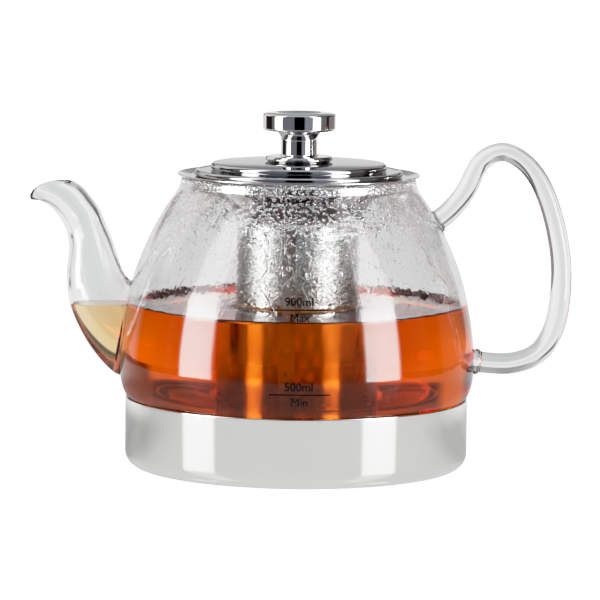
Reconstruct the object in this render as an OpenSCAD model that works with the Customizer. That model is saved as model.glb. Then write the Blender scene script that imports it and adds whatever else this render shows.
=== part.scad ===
// Glass teapot: a blown body on a pressed steel base, with a steel infuser and a steel lid.
// Millimetres, +Z up. The origin is the centre of the underside. The spout points to -X and
// the handle to +X, both in the plane Y = 0; the level marks face -Y.

/* [Glass body] */
// Largest outside radius of the body
body_r = 67.6; // [66.6:0.1:69]
// Outside radius of the neck
neck_r = 44.65; // [44.6:0.05:45.2]
// Height of the fire-polished rim
rim_z = 110.6; // [110:0.1:110.6]
// Thickness of the blown wall
glass_wall = 2; // [1.7:0.1:2]
// Radius of the hole behind the spout
spout_hole_r = 9; // [8:0.5:10]

/* [Spout and handle] */
// Wall thickness of the spout
spout_wall = 1.5; // [1.2:0.1:1.8]
// How far the sides of the mouth stand above the line from the lip to the back
mouth_rise = 9.5; // [6:0.5:10]
// Diameter of the solid handle rod
handle_d = 8.1; // [7.5:0.1:9]
// Extra radius of the knuckle at each end of the handle
knuckle = 0.9; // [0.5:0.1:1.2]

/* [Steel base] */
// Outside radius of the pressed base
base_r = 65.1; // [64.9:0.1:65.5]
// Height of the base
base_h = 26.8; // [26:0.1:27]
// Radius of its bottom corner
base_corner = 6; // [5:0.5:7]
// Sheet thickness of the base
base_sheet = 0.8; // [0.7:0.1:0.9]
// Radius of the magnetic plate under the floor
plate_r = 51; // [48:0.5:52]
// Height of the recess that holds the plate and the spreader
recess_h = 3.4; // [2.8:0.1:4]

/* [Infuser] */
// Radius of the flange that rests on the glass rim
flange_r = 46; // [45.6:0.1:46.6]
// Outside radius of the collar inside the neck
collar_r = 42.15; // [42:0.05:42.2]
// Outside radius of the perforated basket
basket_r = 23.2; // [21:0.1:24]
// Height of the underside of the basket
basket_z = 12.8; // [10:0.1:18]
// Sheet thickness of the flange and collar
infuser_sheet = 0.6; // [0.5:0.05:0.6]
// Sheet thickness of the basket
basket_sheet = 0.5; // [0.4:0.05:0.6]
// Width of the plain strip where the basket sheet overlaps
seam_w = 5.1; // [4:0.1:7]

/* [Lid] */
// Radius of the rolled bead at the edge of the lid
lid_r = 39.4; // [39.2:0.1:39.8]
// Radius of the raised disc of the lid
step_r = 33.45; // [31:0.05:34]
// Height of the top of the raised disc
lid_top_z = 116.4; // [116.2:0.1:117]
// Sheet thickness of the lid
lid_sheet = 0.6; // [0.5:0.05:0.7]
// Outside radius of the skirt that drops into the collar
skirt_r = 37; // [36:0.1:37]
// Height of the lower edge of the skirt
skirt_z = 107.4; // [106.9:0.1:108.4]

/* [Knob] */
// Radius of the knob's head
knob_r = 13.9; // [12:0.1:15]
// Radius of the knob's stem
stem_r = 6.9; // [6:0.1:8]
// Height of the top of the knob
knob_top_z = 135.1; // [134:0.1:137]
// Radius of the turned foot under the knob
foot_r = 13.05; // [12:0.05:14]
// Height of the turned foot
foot_h = 2.2; // [2:0.1:3]

/* [Level marks] */
// Length of each printed level line
mark_len = 22.4; // [16:0.1:30]
// Height of the upper level line
mark_high_z = 67; // [64:0.5:72]
// Height of the lower level line
mark_low_z = 36.2; // [34:0.1:44]

/* [Hidden] */
$fn = 96;

glass_tint = [0.85, 0.9, 0.9, 0.35];
steel_tint = [0.78, 0.78, 0.8];
front = -90;              // bearing of the level marks round the axis, degrees
fit_gap = 0.1;            // gap left between faces that rest on each other

// Glass body, from the tail inside the base to the rim, as [radius, height]
tail_r = base_r - 2.1;
tail_z = 20.5;
body_outline = [
    [tail_r, tail_z + 1], [tail_r, 25], [body_r - 1.4, 29.8], [body_r, 39.5],
    [body_r - 1.4, 55], [body_r - 5.2, 72.5], [body_r - 11.4, 88],
    [body_r - 17.5, 99.2], [neck_r + 1.3, 105], [neck_r, 108], [neck_r, rim_z - 1]
];
outer_curve = spline(body_outline, 6);
inner_curve = inset(outer_curve, glass_wall);

// Spout stations from the root to the mouth: lower edge [x, z], upper edge [x, z], half width
spout_stations = [
    [[-64.5, 33.0], [-61.0, 69.4], 13.4], [[-70.4, 35.8], [-64.6, 71.4], 12.4],
    [[-77.4, 43.4], [-66.5, 74.4], 11.2], [[-82.8, 52.2], [-67.6, 77.2], 10.4],
    [[-86.5, 61.5], [-68.6, 80.4], 9.8], [[-87.7, 73.0], [-70.2, 85.4], 9.0],
    [[-86.9, 83.5], [-72.6, 91.2], 8.0], [[-88.6, 90.8], [-75.2, 97.3], 7.3],
    [[-92.2, 96.4], [-78.2, 101.6], 7.0], [[-96.8, 99.9], [-81.6, 105.6], 6.8],
    [[-101.4, 100.7], [-85.9, 108.3], 6.6]
];
spout_rings = 30;
spout_sides = 28;

// Handle centreline from the upper foot to the lower foot, as [x, z]
handle_route = [
    [52.2, 93.9], [57.7, 98.5], [63.2, 105.6], [69.0, 116.8], [77.4, 120.8],
    [86.3, 116.2], [93.1, 106.2], [98.1, 90.5], [100.1, 74.5], [98.6, 57.5],
    [92.6, 45.2], [81.4, 40.3], [66.8, 40.9]
];
handle_rings = 72;
handle_sides = 20;
knuckle_at = 2.1;         // distance of each knuckle from the end of the rod
knuckle_half = 1.7;       // half the length of each knuckle
drawn_thin = 0.5;         // radius the rod loses where it is bent over the top

// Infuser: the flange lies on the glass rim, and a hemmed ledge inside it carries the lid
ledge_z = 110.8;
ledge_r = 38.4;
flange_rise = 1.1;
dish_r = 41.4;            // where the flat ledge turns up into the flange
shoulder_z = 105.5;       // bottom of the collar wall
bowl_z = 92;              // where the bowl meets the basket
collar_fillet = 1.4;
sleeve_len = 4;           // length of the collar's neck inside the basket
floor_rim = 4;            // height of the floor's turned-up rim

// Lid and knob
bead_r = 1.15;
step_round = 1.35;
ring_z = 112.95;          // height of the flat ring between bead and raised disc
foot_z = lid_top_z;
stem_z = foot_z + foot_h;
head_z = knob_top_z - 6.9;
dish_in_r = 7.7;          // radius of the shallow dish in the knob's top
thread_r = 2;             // radius of the screw's shank
screw_reach = 6;          // how far the screw goes into the stem
liner_floor_z = 109.4;
washer_h = 0.8;

// Catmull-Rom curve through the points, with n steps between neighbours
function spline(p, n) = [
    for (i = [0 : len(p) - 2], k = [0 : (i == len(p) - 2 ? n : n - 1)])
        let (a = p[max(i - 1, 0)], b = p[i], c = p[i + 1], d = p[min(i + 2, len(p) - 1)], t = k / n)
            0.5 * (2 * b + (c - a) * t + (2 * a - 5 * b + 4 * c - d) * t * t
                + (3 * b - a - 3 * c + d) * t * t * t)
];

// One point of that curve, at u from 0 to 1 along the whole list
function along(p, u) =
    let (s = min(u, 0.999999) * (len(p) - 1), i = floor(s), t = s - i)
    let (a = p[max(i - 1, 0)], b = p[i], c = p[i + 1], d = p[min(i + 2, len(p) - 1)])
        0.5 * (2 * b + (c - a) * t + (2 * a - 5 * b + 4 * c - d) * t * t
            + (3 * b - a - 3 * c + d) * t * t * t);

// The curve moved to its left-hand side, towards the axis, by w
function inset(p, w) = [
    for (i = [0 : len(p) - 1])
        let (t = p[min(i + 1, len(p) - 1)] - p[max(i - 1, 0)])
            p[i] + w * [-t[1], t[0]] / norm(t)
];

function reversed(p) = [for (i = [len(p) - 1 : -1 : 0]) p[i]];

// Points of an arc, from angle a to angle b
function arc(centre, rx, ry, a, b, n) = [
    for (i = [0 : n]) centre + [rx * cos(a + (b - a) * i / n), ry * sin(a + (b - a) * i / n)]
];

// Outside radius of the glass at a height
function glass_r(z) = lookup(z, [for (p = outer_curve) [p[1], p[0]]]);

// Faces of a tube of rings, each with m points; closed by flat caps
function tube_faces(n, m) = concat(
    [for (i = [0 : n - 2], j = [0 : m - 1])
        [i * m + j, i * m + (j + 1) % m, (i + 1) * m + (j + 1) % m, (i + 1) * m + j]],
    [[for (j = [m - 1 : -1 : 0]) j], [for (j = [0 : m - 1]) (n - 1) * m + j]]
);

// Faces of a ring of sections that closes on itself
function loop_faces(n, m) = [
    for (i = [0 : n - 1], j = [0 : m - 1])
        let (k = (i + 1) % n) [i * m + j, i * m + (j + 1) % m, k * m + (j + 1) % m, k * m + j]
];

// One ring of the spout at station u, with its wall thinned by w
function spout_ring(u, w) =
    let (low = along([for (s = spout_stations) s[0]], u),
        high = along([for (s = spout_stations) s[1]], u),
        half = along([for (s = spout_stations) [s[2], 0]], u)[0],
        mid = (low + high) / 2, span = norm(high - low), dir = (high - low) / span,
        rise = mouth_rise * pow(max(0, (u - 0.84) / 0.16), 2))
    [for (j = [0 : spout_sides - 1])
        let (a = 360 * j / spout_sides,
            lift = rise * abs(sin(a / 2)) * pow(abs(cos(a / 2)), 2.4),
            p = mid - (span / 2 - 1.15 * w) * cos(a) * dir + lift * [-dir[1], dir[0]])
            [p[0], (half - w) * sin(a), p[1]]];

// Radius of the handle rod at u from 0 to 1, with a knuckle near each end
function rod_r(u, length) =
    let (s = min(u, 1 - u) * length, t = (s - knuckle_at) / knuckle_half)
        handle_d / 2 - drawn_thin * exp(-pow((u - 0.36) / 0.22, 2))
            + (abs(t) < 1 ? knuckle * pow(cos(90 * t), 0.8) : 0);

function rod_ring(u, length) =
    let (c = along(handle_route, u), t = along(handle_route, min(1, u + 0.002))
        - along(handle_route, max(0, u - 0.002)), side = [-t[1], t[0]] / norm(t),
        r = rod_r(u, length))
    [for (j = [0 : handle_sides - 1])
        let (a = 360 * j / handle_sides, p = c + r * cos(a) * side) [p[0], r * sin(a), p[1]]];

// Stations along the handle, closer together at the knuckles
function handle_stations() = let (n = handle_rings) [
    for (i = [0 : n]) let (t = i / n) t - 0.11 * sin(360 * t)
];

// A level line that follows the glass
module level_line(z) {
    turn = mark_len / glass_r(z) * 180 / PI;
    rotate([0, 0, front + 1 - turn / 2])
        rotate_extrude(angle = turn)
            polygon([
                [glass_r(z - 0.25), z - 0.25], [glass_r(z - 0.25) + 0.12, z - 0.25],
                [glass_r(z + 0.25) + 0.12, z + 0.25], [glass_r(z + 0.25), z + 0.25]
            ]);
}

// Blown body, open at both ends, with the hole that feeds the spout
module glass_body() {
    rim = arc([neck_r - glass_wall / 2, rim_z - 1], glass_wall / 2, 1, 0, 180, 8);
    tail = arc([tail_r - glass_wall / 2, tail_z + 1], glass_wall / 2, 1, 180, 360, 8);
    color(glass_tint)
        difference() {
            rotate_extrude()
                polygon(concat(outer_curve, rim, reversed(inner_curve), tail));
            translate([-body_r + 8, 0, 50]) rotate([0, -90, 0]) cylinder(r = spout_hole_r, h = 20);
        }
}

// Hollow spout: the outer skin, round the lip, and back down the bore
module glass_spout() {
    n = spout_rings;
    outside = [for (i = [0 : n - 1]) spout_ring(i / (n - 1), 0)];
    bore = [for (i = [n - 1 : -1 : 0]) spout_ring(i / (n - 1), spout_wall)];
    rings = concat(outside, bore);
    color(glass_tint)
        polyhedron([for (r = rings) each r], loop_faces(2 * n, spout_sides), convexity = 6);
}

// Solid rod, bent to an ear shape, with a knuckle where each end is fused to the body
module glass_handle() {
    route = spline(handle_route, 4);
    length = travel(route, 1);
    rings = [for (u = handle_stations()) rod_ring(u, length)];
    color(glass_tint)
        polyhedron([for (r = rings) each r], tube_faces(len(rings), handle_sides), convexity = 6);
}

// Length of a polyline from its start to point i onwards
function travel(p, i) = i >= len(p) ? 0 : norm(p[i] - p[i - 1]) + travel(p, i + 1);

module level_marks() {
    color([0.15, 0.15, 0.15]) {
        level_line(mark_high_z);
        level_line(mark_low_z);
    }
}

// Pressed cup with a rolled top edge and a recess under its floor
module steel_base() {
    t = base_sheet;
    c = base_corner;
    recess_r = plate_r + 0.6;
    color(steel_tint)
        rotate_extrude()
            polygon(concat(
                [[0, recess_h], [recess_r, recess_h], [recess_r + 1, fit_gap]],
                arc([base_r - c, c + fit_gap], c, c, -90, 0, 12),
                arc([base_r - t / 2, base_h - t / 2], t / 2, t / 2, 0, 180, 6),
                arc([base_r - c, c + fit_gap], c - t, c - t, 0, -90, 12),
                [[recess_r + 1 + t, fit_gap + t], [recess_r + t, recess_h + t], [0, recess_h + t]]
            ));
}

// Bond that holds the glass tail in the base, with a bead under the tail
module base_seal() {
    wall_r = base_r - base_sheet;
    color([0.25, 0.24, 0.24])
        rotate_extrude()
            polygon([
                [tail_r - glass_wall, tail_z - 1.5], [wall_r, tail_z - 1.5], [wall_r, base_h - 0.7],
                [tail_r + 0.5, base_h - 0.7], [tail_r, 25], [tail_r, tail_z],
                [tail_r - glass_wall, tail_z]
            ]);
}

module heat_spreader() {
    color([0.72, 0.73, 0.75])
        translate([0, 0, 0.6]) cylinder(r = plate_r - 0.8, h = recess_h - 0.6);
}

// Magnetic steel cap round the heat spreader; its flat underside is what the pot stands on
module induction_plate() {
    color([0.62, 0.62, 0.64])
        rotate_extrude()
            polygon([
                [0, 0], [plate_r - 0.4, 0], [plate_r, 0.4], [plate_r, recess_h],
                [plate_r - 0.8, recess_h], [plate_r - 0.8, 0.6], [0, 0.6]
            ]);
}

// Flange, hemmed ledge, collar and bowl, drawn from one sheet
module infuser_collar() {
    t = infuser_sheet;
    f = collar_fillet;
    reach = collar_r - f - basket_r;
    drop = shoulder_z - bowl_z;
    bowl_mid = [basket_r + reach, bowl_z];
    color(steel_tint)
        rotate_extrude()
            polygon(concat(
                [[basket_r - basket_sheet, bowl_z - sleeve_len], [basket_r - basket_sheet, bowl_z]],
                arc(bowl_mid, reach, drop, 180, 90, 16),
                arc([collar_r - f, shoulder_z + f], f, f, -75, 0, 5),
                [[collar_r, ledge_z - t + 0.2], [flange_r - 0.3, ledge_z + flange_rise - t],
                    [flange_r, ledge_z + flange_rise - 0.3], [flange_r - 0.3, ledge_z + flange_rise],
                    [dish_r, ledge_z], [ledge_r, ledge_z], [ledge_r, ledge_z - 2 * t],
                    [collar_r - t, ledge_z - 2 * t]],
                arc([collar_r - f, shoulder_z + f], f - t, f - t, 0, -75, 5),
                arc(bowl_mid, reach + t, drop + t, 90, 176, 16),
                [[basket_r - basket_sheet - t, bowl_z - sleeve_len]]
            ));
}

// Perforated sheet rolled to a tube; the perforation itself is left to the surface finish
module infuser_basket() {
    color(steel_tint)
        translate([0, 0, basket_z])
            difference() {
                cylinder(r = basket_r, h = bowl_z - basket_z);
                translate([0, 0, -1])
                    cylinder(r = basket_r - basket_sheet, h = bowl_z - basket_z + 2);
            }
}

// Lap strip along the seam of the basket
module infuser_seam() {
    turn = seam_w / basket_r * 180 / PI;
    color(steel_tint)
        rotate([0, 0, front - 8 - turn / 2])
            rotate_extrude(angle = turn)
                translate([basket_r, basket_z]) square([0.25, bowl_z - basket_z - 0.5]);
}

// Pressed floor with a turned-up rim inside the basket
module infuser_floor() {
    r = basket_r - basket_sheet;
    t = basket_sheet;
    color(steel_tint)
        rotate_extrude()
            polygon(concat(
                [[0, basket_z + 0.4]],
                arc([r - 1.2, basket_z + 1.6], 1.2, 1.2, -90, 0, 6),
                [[r, basket_z + 0.4 + floor_rim], [r - t, basket_z + 0.4 + floor_rim]],
                arc([r - 1.2, basket_z + 1.6], 1.2 - t, 1.2 - t, 0, -90, 6),
                [[0, basket_z + 0.4 + t]]
            ));
}

// Spun cover: rolled bead, flat ring, rounded step and raised disc
module lid_cover() {
    t = lid_sheet;
    mid = [lid_r - bead_r, ledge_z + fit_gap + bead_r];
    step = [step_r - step_round, lid_top_z - step_round];
    color(steel_tint)
        difference() {
            rotate_extrude()
                polygon(concat(
                    [[0, lid_top_z]],
                    arc(step, step_round, step_round, 90, -55, 12),
                    [[step[0] + 0.9, ring_z + 0.15], [step[0] + 1.5, ring_z]],
                    arc(mid, bead_r, bead_r, 128, -180, 20),
                    [[mid[0] - bead_r, ring_z - t], [step[0] + 0.3, ring_z - t]],
                    arc(step, step_round - t, step_round - t, -55, 90, 10),
                    [[0, lid_top_z - t]]
                ));
            translate([0, 0, lid_top_z - 2]) cylinder(r = thread_r + 0.2, h = 4);
        }
}

// Flat underside of the lid with the skirt that centres it in the collar
module lid_liner() {
    t = lid_sheet;
    color(steel_tint)
        difference() {
            rotate_extrude()
                polygon([
                    [0, liner_floor_z], [skirt_r - t, liner_floor_z], [skirt_r - t, skirt_z],
                    [skirt_r, skirt_z], [skirt_r, ring_z - t], [skirt_r - t, ring_z - t],
                    [skirt_r - t, liner_floor_z + t], [0, liner_floor_z + t]
                ]);
            translate([0, 0, liner_floor_z - 1]) cylinder(r = thread_r + 0.2, h = 3);
        }
}

// Turned knob: dished head, concave neck and straight stem, tapped from below
module knob() {
    edge = 1.1;
    flare_w = 3;
    flare_h = 4.2;
    color(steel_tint)
        difference() {
            rotate_extrude()
                polygon(concat(
                    [[0, stem_z], [stem_r + 0.5, stem_z], [stem_r, stem_z + 0.5]],
                    arc([stem_r + flare_w, head_z - flare_h], flare_w, flare_h, 180, 90, 8),
                    [[knob_r - edge - 0.6, head_z]],
                    arc([knob_r - edge, head_z + edge], edge, edge, -75, 0, 5),
                    arc([knob_r - edge, knob_top_z - edge - 0.35], edge, edge, 0, 75, 5),
                    [[dish_in_r + 1.6, knob_top_z], [dish_in_r + 0.6, knob_top_z - 0.1]],
                    [for (i = [6 : -1 : 0]) let (q = i / 6)
                        [dish_in_r * q, knob_top_z - 0.4 - 0.8 * (1 - q * q)]]
                ));
            translate([0, 0, stem_z - 1]) cylinder(r = thread_r, h = screw_reach + 1.5);
        }
}

// Turned foot with a bevelled edge, clamped between the stem and the lid
module knob_foot() {
    low = foot_r - 1.4;
    color(steel_tint)
        difference() {
            rotate_extrude()
                polygon(concat(
                    [[0, foot_z], [low, foot_z], [foot_r, foot_z + 0.8]],
                    arc([foot_r - 1.5, foot_z + foot_h - 1.1], 1.3, 1.1, 10, 90, 5),
                    [[0, foot_z + foot_h]]
                ));
            translate([0, 0, foot_z - 1]) cylinder(r = thread_r + 0.2, h = foot_h + 2);
        }
}

module knob_screw() {
    seat = liner_floor_z - washer_h;
    color([0.66, 0.66, 0.68])
        difference() {
            union() {
                translate([0, 0, seat]) cylinder(r = thread_r - 0.05, h = stem_z + screw_reach - seat);
                intersection() {
                    translate([0, 0, seat - 2.2]) cylinder(r = 3.8, h = 2.2);
                    translate([0, 0, seat + 1.4]) sphere(r = 4.2);
                }
            }
            translate([0, 0, seat - 3]) for (a = [0, 90])
                rotate([0, 0, a]) translate([-2, -0.45, 0]) cube([4, 0.9, 2.2]);
        }
}

module knob_washer() {
    color([0.7, 0.7, 0.72])
        translate([0, 0, liner_floor_z - washer_h])
            difference() {
                cylinder(r = 5, h = washer_h);
                translate([0, 0, -1]) cylinder(r = thread_r + 0.2, h = washer_h + 2);
            }
}

glass_body();
glass_spout();
glass_handle();
level_marks();
steel_base();
base_seal();
heat_spreader();
induction_plate();
infuser_collar();
infuser_basket();
infuser_seam();
infuser_floor();
lid_cover();
lid_liner();
knob();
knob_foot();
knob_screw();
knob_washer();
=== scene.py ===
"""Looks for the glass teapot: glass, tea, condensation and steel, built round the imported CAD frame."""

import math

import bmesh
import bpy
import numpy as np
from mathutils import Matrix, Vector


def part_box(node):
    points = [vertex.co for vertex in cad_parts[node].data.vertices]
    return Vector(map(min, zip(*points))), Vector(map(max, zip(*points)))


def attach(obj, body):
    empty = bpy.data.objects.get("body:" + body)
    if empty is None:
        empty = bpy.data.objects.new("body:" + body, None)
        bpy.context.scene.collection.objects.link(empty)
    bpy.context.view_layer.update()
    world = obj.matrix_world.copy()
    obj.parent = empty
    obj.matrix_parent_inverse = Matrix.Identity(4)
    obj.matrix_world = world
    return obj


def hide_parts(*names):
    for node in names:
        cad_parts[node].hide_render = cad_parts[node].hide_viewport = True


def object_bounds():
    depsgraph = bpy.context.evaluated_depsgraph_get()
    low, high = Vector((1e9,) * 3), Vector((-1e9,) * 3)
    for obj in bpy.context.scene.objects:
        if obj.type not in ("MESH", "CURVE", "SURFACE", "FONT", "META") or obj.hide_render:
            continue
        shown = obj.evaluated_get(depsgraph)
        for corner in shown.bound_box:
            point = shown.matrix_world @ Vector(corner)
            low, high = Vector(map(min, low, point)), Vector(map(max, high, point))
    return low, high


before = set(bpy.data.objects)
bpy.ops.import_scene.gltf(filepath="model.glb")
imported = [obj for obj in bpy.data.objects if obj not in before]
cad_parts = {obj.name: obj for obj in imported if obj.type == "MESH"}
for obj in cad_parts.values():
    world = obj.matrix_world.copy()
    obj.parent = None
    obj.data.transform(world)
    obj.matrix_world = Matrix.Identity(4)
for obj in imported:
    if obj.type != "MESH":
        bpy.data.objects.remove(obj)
cad_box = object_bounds()

MM = 0.001
rng = np.random.default_rng(11)


# ---------------------------------------------------------------- sizes, in mm, from the frame


def box_mm(node):
    low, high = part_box(node)
    return np.array(low) / MM, np.array(high) / MM


def high(node, axis):
    return float(box_mm(node)[1][axis])


def low(node, axis):
    return float(box_mm(node)[0][axis])


BODY_R = high("glass_body", 1) - 0.01  # a hair inside the CAD
RIM_Z = high("glass_body", 2)
TAIL_Z = low("glass_body", 2)
WALL = 2.0  # thickness of the glass
NECK_R = BODY_R - 22.95
BASE_R = high("steel_base", 1)
BASE_H = high("steel_base", 2)
TAIL_R = BASE_R - 2.1  # glass that stands inside the base
COLLAR_TOP = high("infuser_collar", 2)
LEDGE_Z = COLLAR_TOP - 1.1
BASKET_R = high("infuser_basket", 0)
BASKET_LOW = low("infuser_basket", 2)
BASKET_TOP = high("infuser_basket", 2)
LID_R = high("lid_cover", 0)
LID_TOP = high("lid_cover", 2)
KNOB_R = high("knob", 0)
KNOB_LOW = low("knob", 2)
KNOB_TOP = high("knob", 2)
FOOT_R = high("knob_foot", 0)
FOOT_LOW = low("knob_foot", 2)
FOOT_TOP = high("knob_foot", 2)
TEA_Z = 61.65  # level of the tea
CLIMB = 1.5  # how high the tea climbs the glass
HOLE_R = 9.0  # hole in the body's wall behind the spout
HOLE_Z = 50.0


# ---------------------------------------------------------------- curves


def catmull(a, b, c, d, t):
    return 0.5 * (
        2 * b + (c - a) * t + (2 * a - 5 * b + 4 * c - d) * t**2 + (3 * b - a - 3 * c + d) * t**3
    )


def along(points, u):
    """The curve through the points at u from 0 to 1, straight on beyond either end."""
    p = np.asarray(points, float)
    u = np.atleast_1d(np.asarray(u, float))
    n = len(p) - 1
    s = np.clip(u, 0, 0.999999) * n
    i = np.floor(s).astype(int)
    t = (s - i)[:, None]
    at = catmull(p[np.maximum(i - 1, 0)], p[i], p[i + 1], p[np.minimum(i + 2, n)], t)
    before = np.minimum(u, 0)[:, None] * n * 0.5 * (p[1] - p[0])
    after = np.maximum(u - 1, 0)[:, None] * n * 0.5 * (p[-1] - p[-2])
    return at + before + after


def even(curve, count):
    """The polyline cut into equal lengths and smoothed a little."""
    passes = 12
    c = np.asarray(curve, float)
    s = np.concatenate([[0], np.cumsum(np.linalg.norm(np.diff(c, axis=0), axis=1))])
    at = np.linspace(0, s[-1], count)
    out = np.stack([np.interp(at, s, c[:, k]) for k in range(c.shape[1])], 1)
    for _ in range(passes):
        out[1:-1] = 0.25 * out[:-2] + 0.5 * out[1:-1] + 0.25 * out[2:]
    return out


def inset(curve, w):
    """The curve moved to its left by w."""
    t = np.gradient(curve, axis=0)
    t /= np.linalg.norm(t, axis=1)[:, None]
    return curve + w * np.stack([-t[:, 1], t[:, 0]], 1)


def arc(centre, rx, ry, a, b, n):
    """n steps along an ellipse, from angle a to angle b in degrees."""
    t = np.radians(np.linspace(a, b, n + 1))
    return np.stack([centre[0] + rx * np.cos(t), centre[1] + ry * np.sin(t)], 1)


def rounded(points, steps=8):
    """A closed profile of (radius, height, fillet) corners, with each fillet drawn as an arc."""
    out, n = [], len(points)
    for i, (x, y, f) in enumerate(points):
        p = np.array([x, y])
        if not f:
            out.append(p)
            continue
        a = np.array(points[i - 1][:2]) - p
        b = np.array(points[(i + 1) % n][:2]) - p
        a, b = a / np.linalg.norm(a), b / np.linalg.norm(b)
        half = math.acos(np.clip(a @ b, -1, 1)) / 2
        centre = p + (a + b) / np.linalg.norm(a + b) * f / math.sin(half)
        start = p + a * f / math.tan(half) - centre
        end = p + b * f / math.tan(half) - centre
        turn = math.atan2(start[0] * end[1] - start[1] * end[0], start @ end)
        for k in range(steps + 1):
            c, s = math.cos(turn * k / steps), math.sin(turn * k / steps)
            out.append(centre + np.array([c * start[0] - s * start[1], s * start[0] + c * start[1]]))
    return np.array(out)


# ---------------------------------------------------------------- meshes


MERGE = 1e-7  # metres
DEGENERATE = 1e-8


def tidy_mesh(obj, sharp=32.0):
    """Merges doubles, turns faces outwards, and smooths all but the sharp edges."""
    bm = bmesh.new()
    bm.from_mesh(obj.data)
    bmesh.ops.remove_doubles(bm, verts=bm.verts, dist=MERGE)
    bmesh.ops.dissolve_degenerate(bm, edges=bm.edges, dist=DEGENERATE)
    bmesh.ops.recalc_face_normals(bm, faces=bm.faces)
    for f in bm.faces:
        f.smooth = True
    for e in bm.edges:
        e.smooth = not (len(e.link_faces) == 2 and e.calc_face_angle(0) > math.radians(sharp))
    bm.to_mesh(obj.data)
    bm.free()


def build(name, verts, faces, material, body=None, slot=None, replaces=(), sharp=32.0, tidy=True):
    """An object from points in mm; with a body, it is a visual piece that rides on that body."""
    mesh = bpy.data.meshes.new(name)
    mesh.from_pydata((np.asarray(verts, float) * MM).tolist(), [], faces)
    obj = bpy.data.objects.new(name, mesh)
    bpy.context.scene.collection.objects.link(obj)
    if material:
        mesh.materials.append(material)
    if tidy:
        tidy_mesh(obj, sharp)
    else:
        mesh.shade_smooth()
    if body:
        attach(obj, body)
    if replaces:
        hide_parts(*replaces)
    return obj


def lathe(profile, n, turn=360.0, start=0.0):
    """A closed profile of (radius, height) turned round the upright axis in n steps."""
    p = np.asarray(profile, float)
    m = len(p)
    whole = turn == 360.0
    k = n if whole else n + 1
    a = np.radians(start + turn * np.arange(k) / n)
    verts = np.stack(
        [np.outer(np.cos(a), p[:, 0]), np.outer(np.sin(a), p[:, 0]), np.tile(p[:, 1], (k, 1))], -1
    ).reshape(-1, 3)
    faces = [
        (i * m + j, (i + 1) % k * m + j, (i + 1) % k * m + (j + 1) % m, i * m + (j + 1) % m)
        for i in range(n)
        for j in range(m)
    ]
    if not whole:
        faces += [tuple(range(m)), tuple(range(n * m, n * m + m))]
    return verts, faces


def rings_mesh(rings, closed=False):
    """Faces between rings of equal length; open ends are capped."""
    r = np.asarray(rings, float)
    n, m = r.shape[:2]
    faces = [
        (i * m + j, i * m + (j + 1) % m, (i + 1) % n * m + (j + 1) % m, (i + 1) % n * m + j)
        for i in range(n if closed else n - 1)
        for j in range(m)
    ]
    if not closed:
        faces += [tuple(range(m)), tuple(range((n - 1) * m, n * m))]
    return r.reshape(-1, 3), faces


def joined(parts):
    """Several (points, faces) pairs as one."""
    verts, faces = [], []
    for points, polygons in parts:
        faces += [tuple(k + len(verts) for k in polygon) for polygon in polygons]
        verts += [tuple(point) for point in points]
    return verts, faces


def boolean(obj, other, kind):
    """obj becomes obj with other cut away, added or kept; other is removed."""
    mod = obj.modifiers.new("b", "BOOLEAN")
    mod.object, mod.operation, mod.solver = other, kind, "EXACT"
    dg = bpy.context.evaluated_depsgraph_get()
    mesh = bpy.data.meshes.new_from_object(obj.evaluated_get(dg))
    obj.modifiers.clear()
    obj.data = mesh
    bpy.data.objects.remove(other)


# ---------------------------------------------------------------- materials


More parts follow.
